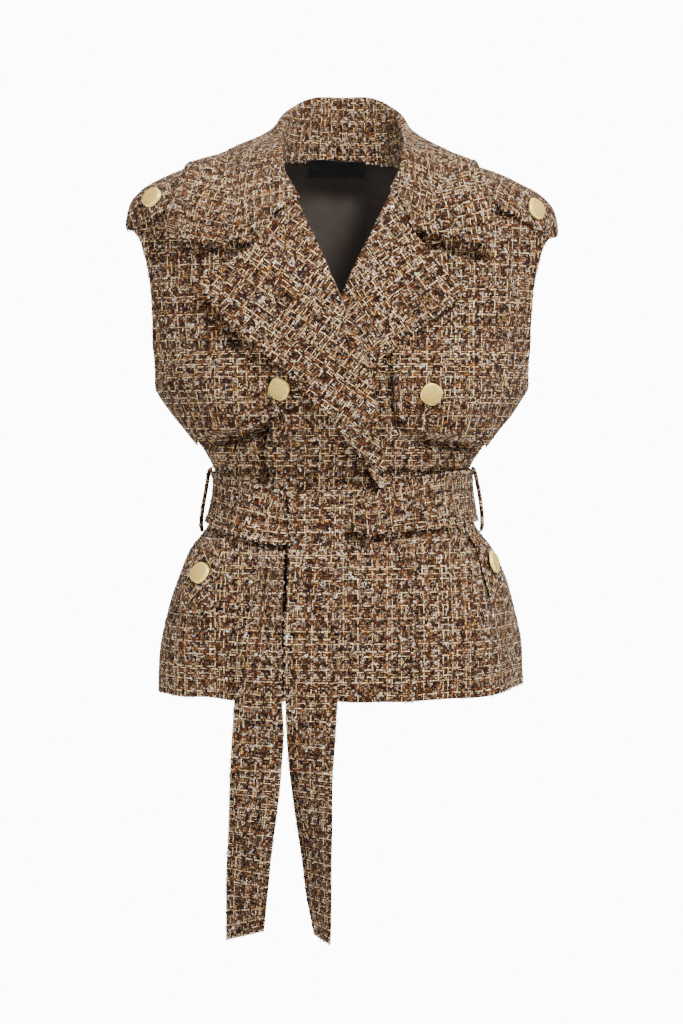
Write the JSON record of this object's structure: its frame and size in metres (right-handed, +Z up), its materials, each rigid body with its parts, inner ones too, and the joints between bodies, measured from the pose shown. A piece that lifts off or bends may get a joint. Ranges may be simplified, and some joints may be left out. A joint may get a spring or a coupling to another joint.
{
  "type": "sleeveless belted double-breasted tweed trench vest",
  "caption": "Sleeveless double-breasted trench vest in tweed with wide collar and lapels, storm flaps, shoulder straps and a tied belt, hollow as if worn.",
  "frame": {"origin": "between the shoulders on the centre plane, at the height of the neck seam, where the wearer's shoulders carry the garment", "axes": "+Z up, the front faces -Y, the wearer's left side is +X"},
  "size_m": [0.447, 0.3043, 0.875],
  "materials": {
    "tweed": "chunky boucle tweed, rust, brown, black and cream yarns in a fine windowpane check",
    "lining": "dark brown satin lining with a soft sheen",
    "label": "plain black woven ribbon",
    "button": "pale gold metal with a fine waffle face"
  },
  "bodies": {
    "root": {"back": "tweed", "lining_back": "lining", "front_right": "tweed", "front_left": "tweed", "lapel_right": "tweed", "lapel_left": "tweed", "collar": "tweed", "storm_flap_right": "tweed", "storm_flap_left": "tweed", "shoulder_strap_right": "tweed", "shoulder_strap_left": "tweed", "belt_band": "tweed", "belt_knot": "tweed", "belt_tail_right": "tweed", "belt_tail_left": "tweed", "belt_loop_right": "tweed", "belt_loop_left": "tweed", "pocket_welt_right": "tweed", "pocket_welt_left": "tweed", "label": "label", "button_flap_right": "button", "button_flap_left": "button", "button_strap_right": "button", "button_strap_left": "button", "button_pocket_right": "button", "button_pocket_left": "button"}
  },
  "joints": []
}
